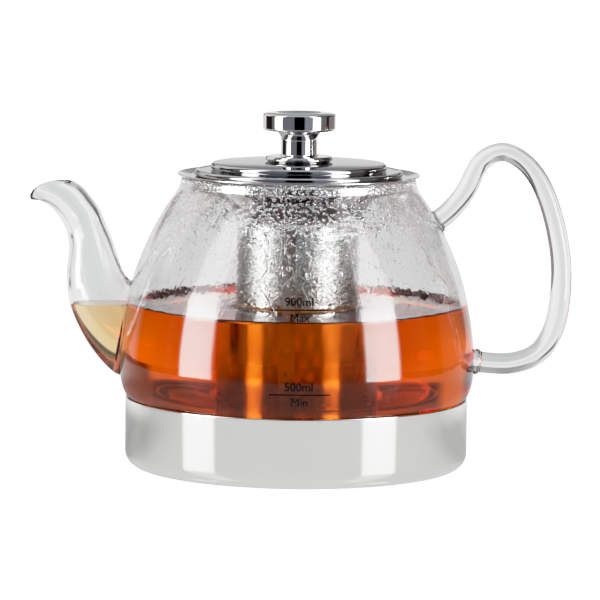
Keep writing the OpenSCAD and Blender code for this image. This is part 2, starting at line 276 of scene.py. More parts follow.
class Shader:
    """A small way to write a node tree: each call adds a node and returns it."""

    def __init__(self, name, kind="material"):
        self.owner = bpy.data.materials.new(name) if kind == "material" else bpy.data.worlds.new(name)
        self.owner.use_nodes = True
        self.tree = self.owner.node_tree
        self.tree.nodes.clear()

    def add(self, kind, *inputs, out=0, **named):
        """A node with inputs by place, then properties and inputs by name."""
        node = self.tree.nodes.new("ShaderNode" + kind)
        sockets = {}
        for key, value in named.items():
            if hasattr(node, key):
                setattr(node, key, value)
            else:
                sockets[key.replace("_", " ")] = value
        for i, value in enumerate(inputs):
            self.put(node.inputs[i], value)
        for key, value in sockets.items():
            self.put(next(s for s in node.inputs if s.name.lower() == key.lower()), value)
        return node.outputs[out]

    def put(self, socket, value):
        if value is None:
            return
        if isinstance(value, bpy.types.NodeSocket):
            self.tree.links.new(value, socket)
        elif hasattr(value, "__len__") and len(value) == 3 and socket.type == "RGBA":
            socket.default_value = (*value, 1)
        else:
            socket.default_value = value

    def math(self, operation, *values):
        node = self.tree.nodes.new("ShaderNodeMath")
        node.operation = operation
        for i, value in enumerate(values):
            self.put(node.inputs[i], value)
        return node.outputs[0]

    def times(self, *values):
        product = values[0]
        for value in values[1:]:
            product = self.math("MULTIPLY", product, value)
        return product

    def length(self, x, y):
        return self.math("SQRT", self.math("ADD", self.math("POWER", x, 2.0), self.math("POWER", y, 2.0)))

    def split(self, vector):
        node = self.tree.nodes.new("ShaderNodeSeparateXYZ")
        self.tree.links.new(vector, node.inputs[0])
        return node.outputs

    def compass(self, x, y):
        """Degrees round the pot as 0 to 1: 0.5 is the front, and more is to the right."""
        turn = self.math("ARCTAN2", x, self.math("MULTIPLY", y, -1.0))
        return self.math("MULTIPLY_ADD", turn, 1 / (2 * math.pi), 0.5)

    def around(self, turn, *stops):
        """A ramp over a compass value, with its stops at degrees from -180 to 180."""
        return self.ramp(turn, [(degrees / 360 + 0.5, colour) for degrees, colour in stops])

    def ramp(self, value, stops):
        node = self.tree.nodes.new("ShaderNodeValToRGB")
        elements = node.color_ramp.elements
        while len(elements) < len(stops):
            elements.new(0.5)
        for element, (at, colour) in zip(elements, stops):
            element.position = at
            element.color = (*colour, 1) if hasattr(colour, "__len__") else (colour,) * 3 + (1,)
        self.put(node.inputs[0], value)
        return node.outputs[0]

    def step(self, value, a, b, to=(0.0, 1.0)):
        """A smooth step between the values a and b; a may be the larger one."""
        return self.add(
            "MapRange", value, a, b, to[0], to[1], interpolation_type="SMOOTHSTEP", data_type="FLOAT"
        )

    def mix(self, factor, a, b):
        node = self.tree.nodes.new("ShaderNodeMix")
        node.data_type = "RGBA"
        for i, value in ((0, factor), (6, a), (7, b)):
            self.put(node.inputs[i], value)
        return node.outputs[2]

    def noise(self, vector, scale, detail=3.0, rough=0.55, stretch=(1, 1, 1)):
        where = self.add("Mapping", vector, scale=stretch)
        return self.add("TexNoise", where, scale=scale, detail=detail, roughness=rough)

    def place(self):
        """Object coordinates, in metres in the shared frame."""
        return self.add("TexCoord", out=3)

    def bump(self, height, strength, distance):
        return self.add("Bump", Strength=strength, Distance=distance, Height=height)

    def end(self, surface, volume=None):
        kind = "OutputMaterial" if isinstance(self.owner, bpy.types.Material) else "OutputWorld"
        node = self.tree.nodes.new("ShaderNode" + kind)
        self.tree.links.new(surface, node.inputs[0])
        if volume:
            self.tree.links.new(volume, node.inputs[1])
        return self.owner


GLASS_IOR = 1.47
WATER_IOR = 1.333


def clear_glass(name, tint, wet=False, ior=GLASS_IOR):
    """Blown glass with slow waves; wet glass is also finely misted."""
    s = Shader(name)
    at = s.place()
    waves = s.noise(at, 14.0, 2.0, 0.4)
    normal = s.bump(waves, 0.08, 0.002)
    if wet:
        fine = s.noise(at, 900.0, 1.0, 0.5, (1, 1, 0.5))
        normal = s.add("Bump", Strength=0.12, Distance=0.0003, Height=fine, Normal=normal)
    shade = s.add(
        "BsdfPrincipled", Base_Color=tint, Roughness=0.0, IOR=ior, Transmission_Weight=1.0, Normal=normal
    )
    return s.end(shade)


def steel(name, tint, low_rough, high_rough, grain, scratch, edge=1.0, metal=1.0):
    """Metal with a cloudy polish and fine scratches; edge dims what it mirrors at a glancing angle."""
    s = Shader(name)
    at = s.place()
    cloud = s.noise(at, 60.0, 4.0, 0.6)
    lines = s.noise(at, 700.0, 3.0, 0.6, grain)
    rough = s.math("MULTIPLY_ADD", s.times(cloud, lines), 2 * (high_rough - low_rough), low_rough)
    colour = s.mix(cloud, tuple(0.96 * c for c in tint), tint)
    normal = s.bump(lines, scratch, 0.0002)
    shade = s.add(
        "BsdfPrincipled", Base_Color=colour, Metallic=metal, Roughness=rough, Normal=normal,
        Specular_Tint=(edge, edge, edge),
    )
    return s.end(shade)


PUNCH_COLUMNS = 190  # holes round the basket
PUNCH_PITCH = 0.767  # mm between columns
PUNCH_ROW = 0.5  # mm between rows
PUNCH_RADIUS = 0.235
PUNCH_LOW, PUNCH_HIGH = 27.4, 88.5  # heights of the perforated part
# Deep and softer spots for water beads on the basket: painted shade, not the steel's own colour.
BEAD_SHADE_DEEP, BEAD_SHADE_SOFT = (0.14, 0.13, 0.13), (0.56, 0.55, 0.54)
TEA_STAIN = (0.3, 0.19, 0.12)


def perforated(name, tint):
    """Sheet steel with staggered round holes, misted above the tea with painted dark bead spots, and browned
    low in it.
    """
    s = Shader(name)
    at = s.place()
    x, y, z = s.split(at)
    column = s.math("MULTIPLY", s.math("ARCTAN2", y, x), PUNCH_COLUMNS / (2 * math.pi))
    row = s.math("DIVIDE", z, PUNCH_ROW * MM)
    stagger = s.math("MULTIPLY", s.math("MODULO", s.math("FLOOR", row), 2.0), 0.5)
    shifted = s.math("ADD", s.math("ADD", column, stagger), 500.0)
    u = s.math("SUBTRACT", s.math("FRACT", shifted), 0.5)
    v = s.math("SUBTRACT", s.math("FRACT", row), 0.5)
    from_centre = s.length(s.math("MULTIPLY", u, PUNCH_PITCH), s.math("MULTIPLY", v, PUNCH_ROW))
    hole = s.math("LESS_THAN", from_centre, PUNCH_RADIUS)
    inside = s.times(
        s.math("GREATER_THAN", z, PUNCH_LOW * MM), s.math("LESS_THAN", z, PUNCH_HIGH * MM)
    )
    alpha = s.math("SUBTRACT", 1.0, s.times(hole, inside))
    dent = s.bump(s.step(from_centre, 0.2, 0.3), 0.06, 0.0002)
    cloud = s.noise(at, 90.0, 3.0)
    metal = s.mix(cloud, tuple(0.93 * c for c in tint), tint)

    wet = s.step(z, (TEA_Z - 1) * MM, (TEA_Z + 3) * MM)
    beads = s.noise(at, 1100.0, 2.0, 0.6)
    relief = s.add("Bump", Strength=s.times(wet, 0.6), Distance=0.0004, Height=beads, Normal=dent)
    # Above the tea the steel's colour is darkened and mottled by the painted shade of the beads.
    bead_shade = s.mix(s.step(beads, 0.4, 0.55), BEAD_SHADE_DEEP, BEAD_SHADE_SOFT)
    metal = s.mix(s.times(wet, 0.8), metal, bead_shade)
    haze = s.math("MULTIPLY_ADD", wet, 0.22, 0.05)

    stain = s.step(z, 52.0 * MM, 30.0 * MM)
    metal = s.mix(s.times(stain, 0.7), metal, TEA_STAIN)
    shade = s.add(
        "BsdfPrincipled",
        Base_Color=metal,
        Metallic=s.math("MULTIPLY_ADD", stain, -0.55, 1.0),
        Roughness=s.math("MULTIPLY_ADD", cloud, 0.05, haze),
        Alpha=alpha,
        Normal=relief,
    )
    return s.end(shade)


def matte(name, a, b, scale, rough, shine=0.5):
    """A plain surface, clouded between the colours a and b."""
    s = Shader(name)
    at = s.place()
    cloud = s.noise(at, scale, 4.0, 0.6)
    shade = s.add(
        "BsdfPrincipled",
        Base_Color=s.mix(cloud, a, b),
        Roughness=s.math("MULTIPLY_ADD", cloud, 0.2, rough - 0.1),
        Normal=s.bump(cloud, 0.1, 0.0003),
        Specular_IOR_Level=shine,
    )
    return s.end(shade)


def liquid(name, tint=None, density=0.0, open_z=None):
    """A liquid; below open_z its skin lies against glass, which does the bending there."""
    s = Shader(name)
    at = s.place()
    ripple = s.bump(s.noise(at, 40.0, 2.0), 0.1, 0.001)
    shade = s.add(
        "BsdfPrincipled", Base_Color=(1, 1, 1), Roughness=0.0, IOR=WATER_IOR, Transmission_Weight=1.0,
        Normal=ripple,
    )
    if open_z is not None:
        above = s.math("GREATER_THAN", s.split(at)[2], open_z * MM)
        shade = s.add("MixShader", above, s.add("BsdfTransparent", (1, 1, 1)), shade)
    volume = s.add("VolumeAbsorption", Color=tint, Density=density) if density else None
    return s.end(shade, volume)


GLASS = clear_glass("clear_glass", (0.988, 0.993, 0.99))
TEA_GLASS = clear_glass("glass_in_tea", (0.99, 0.993, 0.99), ior=GLASS_IOR / WATER_IOR)
WET_GLASS = clear_glass("wet_glass", (0.988, 0.993, 0.99), wet=True)
STEEL = steel("polished_steel", (0.74, 0.73, 0.725), 0.025, 0.07, (1, 1, 1), 0.008)
LID_STEEL = steel("lid_steel", (0.6, 0.595, 0.595), 0.03, 0.08, (1, 1, 1), 0.01, 0.7)
BASE_STEEL = steel("base_steel", (0.9, 0.893, 0.87), 0.03, 0.08, (1, 1, 1), 0.01)
SATIN_STEEL = steel("satin_steel", (0.5, 0.34, 0.28), 0.12, 0.26, (0.2, 1, 1), 0.03)
# A darker copy of the bowl steel for the bowl's downward face: painted shade.
SHADED_UNDERSIDE_STEEL = steel("steel_painted_underside_shade", (0.26, 0.245, 0.24), 0.18, 0.3, (1, 1, 0.2), 0.04)
BOWL_STEEL = steel("bowl_steel", (0.66, 0.65, 0.645), 0.1, 0.2, (1, 1, 0.1), 0.03)
BASKET_STEEL = perforated("perforated_steel", (0.74, 0.735, 0.7))
PLAIN_STEEL = steel("basket_steel", (0.5, 0.44, 0.4), 0.12, 0.2, (1, 1, 0.2), 0.02, metal=0.65)
PLATE_STEEL = steel("plate_steel", (0.62, 0.62, 0.63), 0.25, 0.4, (0.1, 1, 1), 0.05)
ALUMINIUM = steel("bare_aluminium", (0.75, 0.76, 0.78), 0.3, 0.45, (0.2, 1, 1), 0.05)
SEAL = matte("dark_seal", (0.03, 0.026, 0.025), (0.07, 0.06, 0.058), 400.0, 0.4)
PRINT = matte("dark_print", (0.004, 0.003, 0.003), (0.012, 0.01, 0.01), 1500.0, 0.6, shine=0.08)
# A near-black matte for the band at the tea's top edge: painted shade of the meniscus.
MENISCUS_SHADE = matte("painted_meniscus_shade", (0.012, 0.005, 0.003), (0.03, 0.012, 0.006), 900.0, 0.35, shine=0.2)
TEA = liquid("tea", (0.965, 0.65, 0.1), 60.0, TEA_Z - 0.3)
WATER = liquid("water_drops")


# ---------------------------------------------------------------- glass body

# Outside of the body from its foot to its rim, as (radius, height).
OUTLINE = [
    (TAIL_R, TAIL_Z + 1), (TAIL_R, 25), (BODY_R - 1.4, 29.8), (BODY_R, 39.5), (BODY_R - 1.4, 55),
    (BODY_R - 5.2, 72.5), (BODY_R - 11.4, 88), (BODY_R - 17.5, 99.2), (NECK_R + 1.3, 105),
    (NECK_R, 108), (NECK_R, RIM_Z - 1),
]
outer = even(along(OUTLINE, np.linspace(0, 1, 400)), 150)
inner = inset(outer, WALL)


def glass_r(z):
    return np.interp(z, outer[:, 1], outer[:, 0])


def inner_r(z):
    return np.interp(z, inner[:, 1], inner[:, 0])


rim = arc((outer[-1][0] - WALL / 2, RIM_Z - 1), WALL / 2, 1, 0, 180, 12)[1:-1]
tail = arc((TAIL_R - WALL / 2, TAIL_Z + 1), WALL / 2, 1, 180, 360, 10)[1:-1]
body = build(
    "glass_wall", *lathe(np.concatenate([outer, rim, inner[::-1], tail]), 256), GLASS, "pot", "clear_glass",
    ["glass_body"],
)
hole = arc((0, 0), HOLE_R, HOLE_R, 0, 360, 96)[:-1]


def peg(start_x, end_x, swell=1.0):
    """A rod through the hole, along x."""
    return rings_mesh([[(x, p[0] * swell, HOLE_Z + p[1] * swell) for p in hole] for x in (start_x, end_x)])


boolean(body, build("plug", *peg(-58.0, -72.0), None, sharp=30), "DIFFERENCE")
WET_INSIDE, IN_TEA = 1, 2  # the material slots after plain glass
body.data.materials.clear()
for material in (GLASS, WET_GLASS, TEA_GLASS):
    body.data.materials.append(material)
tidy_mesh(body)
for face in body.data.polygons:
    c = face.center / MM
    r = math.hypot(c.x, c.y)
    waterline = TEA_Z + 1 - 0.75 * max(0.0, -c.y / r) ** 2
    in_hole = c.x < -60 and math.hypot(c.y, c.z - HOLE_Z) < HOLE_R + 0.1 and r < glass_r(c.z) - 0.1
    if r < inner_r(c.z) + 0.3:
        face.material_index = WET_INSIDE if c.z > waterline else IN_TEA
    elif in_hole:
        face.material_index = IN_TEA


# ---------------------------------------------------------------- glass spout

# Along the spout: a point of its underside and of its top as (x, z), and half its width.
SPOUT = [
    ((-64.5, 33.0), (-61.0, 69.4), 13.4), ((-70.4, 35.8), (-64.6, 71.4), 12.4),
    ((-77.4, 43.4), (-66.5, 74.4), 11.2), ((-82.8, 52.2), (-67.6, 77.2), 10.4),
    ((-86.5, 61.5), (-68.6, 80.4), 9.8), ((-87.7, 73.0), (-70.2, 85.4), 9.0),
    ((-86.9, 83.5), (-72.6, 91.2), 8.0), ((-88.6, 90.8), (-75.2, 97.3), 7.3),
    ((-92.2, 96.4), (-78.2, 101.6), 7.0), ((-96.8, 99.9), (-81.6, 105.6), 6.8),
    ((-101.4, 100.7), (-85.9, 108.3), 6.6),
]
SPOUT_WALL = 1.5
MOUTH_RISE = 9.5  # how far the sides of the mouth stand up


def spout_point(u, a, w):
    """Points of the spout's skin at u along it and angle a round it, moved in by w."""
    u, a = np.broadcast_arrays(np.asarray(u, float), np.asarray(a, float))
    lower = along([s[0] for s in SPOUT], u)
    upper = along([s[1] for s in SPOUT], u)
    half = along([(s[2], 0) for s in SPOUT], u)[:, 0]
    middle = (lower + upper) / 2
    width = np.linalg.norm(upper - lower, axis=1)
    d = (upper - lower) / width[:, None]
    rise = MOUTH_RISE * np.maximum(0, (u - 0.84) / 0.16) ** 2
    lift = rise * np.abs(np.sin(a / 2)) * np.abs(np.cos(a / 2)) ** 2.4
    across = (width / 2 - 1.15 * w) * np.cos(a)
    p = middle - across[:, None] * d + lift[:, None] * np.stack([-d[:, 1], d[:, 0]], 1)
    return np.stack([p[:, 0], (half - w) * np.sin(a), p[:, 1]], 1)


def meets_wall(point, a, depth, reach):
    """For each angle, the u where the surface comes out of the body's wall, depth below its skin."""

    def past_skin(u):
        p = point(np.full(len(a), u), a)
        return np.hypot(p[:, 0], p[:, 1]) - glass_r(p[:, 2]) + depth

    grid = np.linspace(*reach, 240)
    value = np.stack([past_skin(u) for u in grid])
    found = np.full(len(a), grid[0])
    for j in range(len(a)):
        out = np.nonzero(value[:, j] > 0)[0]
        k = out[0] if len(out) else 0
        if k:
            v0, v1 = value[k - 1, j], value[k, j]
            found[j] = grid[k - 1] + (grid[k] - grid[k - 1]) * v0 / (v0 - v1)
    return found


SIDES = 80
angles = np.radians(np.arange(SIDES) * 360 / SIDES)


def spout_rings(w, depth, count):
    start = meets_wall(lambda u, a: spout_point(u, a, w), angles, depth, (-0.12, 0.3))
    return [spout_point(start + (1 - start) * t, angles, w) for t in np.linspace(0, 1, count)]


def spout_lip(steps=8, swell=0.18):
    """Rings that turn the skin over into the bore, at the mouth."""
    mouth = np.ones(SIDES)
    onwards = spout_point(mouth, angles, 0.7) - spout_point(0.985 * mouth, angles, 0.7)
    onwards /= np.linalg.norm(onwards, axis=1)[:, None]
    rings = []
    for k in range(1, steps):
        t = math.pi * k / steps
        w = SPOUT_WALL / 2 * (1 - math.cos(t))
        rings.append(spout_point(mouth, angles, w) + SPOUT_WALL / 2 * math.sin(t) * onwards * swell)
    return rings


skin = spout_rings(0.006, 0.9, 110)  # a hair inside the CAD
bore = spout_rings(SPOUT_WALL, 0.35, 110)
lip = spout_lip()
spout = build(
    "spout_glass", *rings_mesh(skin + lip + bore[::-1], closed=True), GLASS, "pot", "clear_glass",
    ["glass_spout"], sharp=50,
)
spout.data.materials.append(TEA_GLASS)
outside = len(skin) + len(lip)
for k, face in enumerate(spout.data.polygons):
    if outside <= k // SIDES < outside + len(bore) and face.center.z / MM < TEA_Z:
        face.material_index = 1


# ---------------------------------------------------------------- glass handle

# Middle of the rod from its upper end to its lower end, as (x, z).
ROUTE = [
    (52.2, 93.9), (57.7, 98.5), (63.2, 105.6), (69.0, 116.8), (77.4, 120.8), (86.3, 116.2), (93.1, 106.2),
    (98.1, 90.5), (100.1, 74.5), (98.6, 57.5), (92.6, 45.2), (81.4, 40.3), (66.8, 40.9),
]
ROD_R = 4.04
ROUTE_LEN = float(np.sum(np.linalg.norm(np.diff(along(ROUTE, np.linspace(0, 1, 400)), axis=0), axis=1)))


def rod_point(u, a):
    """Points of the rod's skin: slimmer near the top of the bend, with a knuckle at each fused end."""
    u, a = np.broadcast_arrays(np.asarray(u, float), np.asarray(a, float))
    c = along(ROUTE, u)
    t = along(ROUTE, u + 0.002) - along(ROUTE, u - 0.002)
    side = np.stack([-t[:, 1], t[:, 0]], 1) / np.linalg.norm(t, axis=1)[:, None]
    s = np.minimum(u, 1 - u) * ROUTE_LEN
    slimmer = 0.5 * np.exp(-(((u - 0.36) / 0.22) ** 2))
    knuckle = 0.9 * np.exp(-(((s - 2.1) / 0.9) ** 2))
    fused = 1.7 * np.exp(-np.maximum(s + 0.6, 0) / 0.9)
    r = ROD_R - slimmer + knuckle + fused
    p = c + (r * np.cos(a))[:, None] * side
    return np.stack([p[:, 0], r * np.sin(a), p[:, 1]], 1)


rod_angles = np.radians(np.arange(48) * 7.5)
first = meets_wall(rod_point, rod_angles, 0.9, (-0.03, 0.05))
last = 1 - meets_wall(lambda u, a: rod_point(1 - u, a), rod_angles, 0.9, (-0.03, 0.05))
steps = np.linspace(0, 1, 260)
steps -= 0.1 * np.sin(2 * np.pi * steps)  # closer together at the ends
build(
    "handle_glass", *rings_mesh([rod_point(first + (last - first) * t, rod_angles) for t in steps]), GLASS,
    "pot", "clear_glass", ["glass_handle"], sharp=50,
)


# ---------------------------------------------------------------- tea

SKIN = 0.05  # how far the tea reaches into the glass and steel that it touches
TEA_FLOOR = low("steel_base", 2) + 4.1
CUP_R = BASE_R - 0.8
SEAL_LOW = TAIL_Z - 1.5


def surface_z(r):
    """Height of the tea's surface: it climbs the glass and, inside and out, the basket."""
    at_glass = np.exp(-np.maximum(inner_r(TEA_Z) - r, 0) / 1.5)
    at_basket = np.exp(-np.abs(r - BASKET_R + 0.25) / 1.4)
    return TEA_Z + CLIMB * at_glass + 1.2 * at_basket


radii = np.concatenate(
    [
        np.linspace(0, 21.5, 12), np.linspace(22, 27, 22), np.linspace(28, 54, 16),
        np.linspace(55, inner_r(TEA_Z + CLIMB) + SKIN, 30),
    ]
)
top = np.stack([radii, surface_z(radii)], 1)
beside_glass = inner[(inner[:, 1] < TEA_Z + 1.2)][::-1] + [SKIN, 0]
beside_glass = beside_glass[beside_glass[:, 1] > TAIL_Z + 1]
cup = rounded(
    [
        (TAIL_R - WALL + SKIN, TAIL_Z + 0.8, 0), (TAIL_R - WALL + SKIN, SEAL_LOW + SKIN, 0),
        (CUP_R + SKIN, SEAL_LOW + SKIN, 0), (CUP_R + SKIN, TEA_FLOOR - 3.3 - SKIN, 5.2),
        (53.35, TEA_FLOOR - 3.3 - SKIN, 0), (52.35, TEA_FLOOR - SKIN, 0), (0, TEA_FLOOR - SKIN, 0),
    ]
)
tea = build("tea", *lathe(np.concatenate([top, beside_glass, cup]), 200), TEA, sharp=40)

# The tea in the spout: the bore's filling, cut off at the body's wall and at the tea's level.
filling = [spout_point(np.full(SIDES, u), angles, SPOUT_WALL - SKIN) for u in np.linspace(-0.1, 0.62, 60)]
spout_tea = build("spout_tea", *rings_mesh(filling), TEA, sharp=60)
solid = np.concatenate([inset(outer, SKIN), [(0, RIM_Z), (0, TAIL_Z)]])
boolean(spout_tea, build("body_solid", *lathe(solid, 200), None), "DIFFERENCE")
sky = [[(x, y, z) for x, y in ((-120, -40), (-40, -40), (-40, 40), (-120, 40))] for z in (TEA_Z, 200)]
boolean(spout_tea, build("above", *rings_mesh(sky), None), "DIFFERENCE")
boolean(spout_tea, build("bung", *peg(-58.0, -71.0, 1 + SKIN / HOLE_R), TEA), "UNION")
boolean(tea, spout_tea, "UNION")
tea.data.materials.clear()
tea.data.materials.append(TEA)


def climb(phi):
    """How far the tea climbs the glass at an angle, as a share of its usual climb; least in front."""
    uneven = 0.5 * math.sin(17 * phi + 1) * math.sin(5 * phi)
    uneven += 0.35 * math.sin(43 * phi + 2 * math.sin(7 * phi))
    front = max(0.0, -math.sin(phi))
    return (1 + 0.5 * uneven * (1 - 0.8 * front)) * (1 - 0.6 * front**2)


for v in tea.data.vertices:
    x, y, z = v.co / MM
    r, phi = math.hypot(x, y), math.atan2(y, x)
    if z > TEA_Z + 0.02 and BASKET_R + 8 < r < BODY_R - 2:
        lifted = TEA_Z + (z - TEA_Z) * climb(phi)
        near_glass = max(0.0, 1 - (inner_r(z) - r) / 1.5)
        r += float(inner_r(lifted) - inner_r(z)) * near_glass
        v.co = (r * math.cos(phi) * MM, r * math.sin(phi) * MM, lifted * MM)
tidy_mesh(tea, 35)
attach(tea, "pot")


def meniscus_shade_rings():
    """A thin dark band along the top of the tea, just inside the glass: painted shade for the dark line of
    the meniscus.
    """
    section = ((0.02, -0.3), (0.02, 0.12), (0.08, 0.1), (0.16, -0.1), (0.12, -0.28))
    rings = []
    for phi in np.linspace(-np.pi, np.pi, 361)[:-1]:
        z = TEA_Z + CLIMB * climb(phi)
        radii = [float(inner_r(z + lift)) - depth for depth, lift in section]
        rings.append(
            [(r * math.cos(phi), r * math.sin(phi), z + lift) for r, (_, lift) in zip(radii, section)]
        )
    return rings


# The dark band at the waterline is painted shade, not part of the tea.
build("painted_meniscus_shade", *rings_mesh(meniscus_shade_rings(), closed=True), MENISCUS_SHADE, "pot", "tea", sharp=60)


# ---------------------------------------------------------------- steel base

BASE_T = 0.8  # thickness of the base's sheet
base_profile = rounded(
    [
        (0, 3.4, 0), (51.6, 3.4, 0.3), (52.6, 0.1, 0.5), (BASE_R, 0.1, 6.0), (BASE_R, BASE_H, 0.39),
        (BASE_R - BASE_T, BASE_H, 0.39), (BASE_R - BASE_T, 0.1 + BASE_T, 5.2), (53.4, 0.1 + BASE_T, 0.4),
        (52.4, 3.4 + BASE_T, 0.3), (0, 3.4 + BASE_T, 0),
    ],
    12,
)
cup_shell = build("base_cup", *lathe(base_profile, 256), BASE_STEEL, "pot", "polished_steel", ["steel_base"])
cup_shell.data.materials.append(SATIN_STEEL)
for face in cup_shell.data.polygons:
    outwards = face.normal.xy.dot(face.center.xy.normalized())
    inside = outwards < -0.1 or face.normal.z > 0.3
    face.material_index = 1 if inside and face.center.z / MM < BASE_H - 0.3 else 0


# ---------------------------------------------------------------- infuser

COLLAR_T = 0.6  # thickness of the collar's sheet
NECK_FIT = 42.15  # outside of the collar, in the neck
FLANGE_R = 46.0
COLLAR_LOW = 105.5
HEM_Z = 107.5  # where the hem inside the collar ends
LEDGE_OUT, LEDGE_IN = 41.4, 38.4  # the ledge that carries the lid
TUBE_T = 0.5
FILLET = 1.4  # between the collar and the bowl
BOWL_R = NECK_FIT - FILLET - BASKET_R
BOWL_H = COLLAR_LOW - BASKET_TOP
TUBE_IN = BASKET_R - TUBE_T
bowl_mid = (BASKET_R + BOWL_R, BASKET_TOP)
fillet_mid = (NECK_FIT - FILLET, COLLAR_LOW + FILLET)
flange = rounded(
    [
        (NECK_FIT, HEM_Z, 0), (NECK_FIT, LEDGE_Z - COLLAR_T + 0.2, 0.3),
        (FLANGE_R, COLLAR_TOP - COLLAR_T - 0.05, 0.28), (FLANGE_R, COLLAR_TOP, 0.28),
        (LEDGE_OUT, LEDGE_Z, 0.8), (LEDGE_IN, LEDGE_Z, 0.5), (LEDGE_IN, LEDGE_Z - 2 * COLLAR_T, 0.5),
        (NECK_FIT - COLLAR_T, LEDGE_Z - 2 * COLLAR_T, 0.1), (NECK_FIT - COLLAR_T, HEM_Z, 0),
    ]
)
collar = np.concatenate(
    [
        [(TUBE_IN, BASKET_TOP - 4), (TUBE_IN, BASKET_TOP)],
        arc(bowl_mid, BOWL_R, BOWL_H, 180, 90, 40),
        arc(fillet_mid, FILLET, FILLET, -75, 0, 8),
        flange,
        arc(fillet_mid, FILLET - COLLAR_T, FILLET - COLLAR_T, 0, -75, 8),
        arc(bowl_mid, BOWL_R + COLLAR_T, BOWL_H + COLLAR_T, 90, 176, 40),
        [(TUBE_IN - COLLAR_T, BASKET_TOP - 4)],
    ]
)
collar_shell = build(
    "collar", *lathe(collar, 224), BOWL_STEEL, "infuser", "polished_steel", ["infuser_collar"]
)
# Faces under the bowl that point down get the darker steel, as painted shade.
collar_shell.data.materials.append(SHADED_UNDERSIDE_STEEL)
for face in collar_shell.data.polygons:
    underside = face.normal.z < -0.2 and face.center.z / MM < COLLAR_LOW + 0.5
    face.material_index = 1 if underside else 0

tube = rounded(
    [
        (TUBE_IN, BASKET_LOW, 0.1), (BASKET_R, BASKET_LOW, 0.2), (BASKET_R, BASKET_TOP, 0.2),
        (TUBE_IN, BASKET_TOP, 0.2),
    ],
    4,
)
build("basket", *lathe(tube, 200), BASKET_STEEL, "infuser", "perforated_steel", ["infuser_basket"])
SEAM_AT = -98  # degrees; a little left of the front
SEAM_T = 0.25
seam_turn = math.degrees(5.1 / BASKET_R)
strip = rounded(
    [
        (BASKET_R - 0.02, BASKET_LOW, 0), (BASKET_R + SEAM_T, BASKET_LOW, 0.1),
        (BASKET_R + SEAM_T, BASKET_TOP - 0.5, 0.1), (BASKET_R - 0.02, BASKET_TOP - 0.5, 0),
    ],
    3,
)
build(
    "basket_seam", *lathe(strip, 8, seam_turn, SEAM_AT - seam_turn / 2), PLAIN_STEEL, "infuser",
    "perforated_steel", ["infuser_seam"],
)


def weld(z):
    """A shallow round button on the seam."""
    a = math.radians(SEAM_AT)
    out, side = np.array([math.cos(a), math.sin(a), 0]), np.array([-math.sin(a), math.cos(a), 0])
    turns = np.radians(np.arange(20) * 18)
    rings = []
    for r, lift in ((0.75, 0.2), (0.7, 0.32), (0.45, 0.3), (0.3, 0.26)):
        middle = (BASKET_R + lift) * out
        rings.append([middle + r * np.cos(t) * side + [0, 0, z + r * np.sin(t)] for t in turns])
    return rings_mesh(rings)


build("spot_welds", *joined(weld(z) for z in (46.2, 38.9)), PLATE_STEEL, "infuser", "perforated_steel")
PAN_LOW = BASKET_LOW + 0.4
pan = rounded(
    [
        (0, PAN_LOW, 0), (TUBE_IN, PAN_LOW, 1.2), (TUBE_IN, PAN_LOW + 4, 0.2),
        (TUBE_IN - 0.5, PAN_LOW + 4, 0.2), (TUBE_IN - 0.5, PAN_LOW + 0.5, 0.7), (0, PAN_LOW + 0.5, 0),
    ]
)
build("basket_floor", *lathe(pan, 128), PLAIN_STEEL, "infuser", "perforated_steel", ["infuser_floor"])


# ---------------------------------------------------------------- lid and knob

COVER_T = 0.6  # thickness of the cover
CROWN = 0.5  # rise of the disc towards the knob
BEAD = 1.15
DISC_EDGE = 1.35
RING_Z = 112.95
bead_mid = (LID_R - BEAD, LEDGE_Z + 0.1 + BEAD)
disc_mid = (33.45 - DISC_EDGE, LID_TOP - DISC_EDGE - CROWN)
disc_r = np.linspace(FOOT_R, disc_mid[0], 10)[:-1]
crowned = np.stack([disc_r, LID_TOP - CROWN * ((disc_r - FOOT_R) / (disc_mid[0] - FOOT_R)) ** 2], 1)
cover = np.concatenate(
    [
        [(0, LID_TOP)],
        crowned,
        arc(disc_mid, DISC_EDGE, DISC_EDGE, 88, -50, 18),
        rounded(
            [
                (disc_mid[0] + 0.85, RING_Z + 0.35, 0), (disc_mid[0] + 1.4, RING_Z, 0.5),
                (bead_mid[0] - 1.2, RING_Z, 0),
            ]
        )[:-1],
        arc(bead_mid, BEAD, BEAD, 128, -180, 30),
        [(bead_mid[0] - BEAD, RING_Z - COVER_T), (disc_mid[0] + 0.3, RING_Z - COVER_T)],
        arc(disc_mid, DISC_EDGE - COVER_T, DISC_EDGE - COVER_T, -50, 90, 12),
        [(FOOT_R, LID_TOP - COVER_T), (0, LID_TOP - COVER_T)],
    ]
)
build("lid_shell", *lathe(cover, 224), LID_STEEL, "lid", "polished_steel", ["lid_cover"])

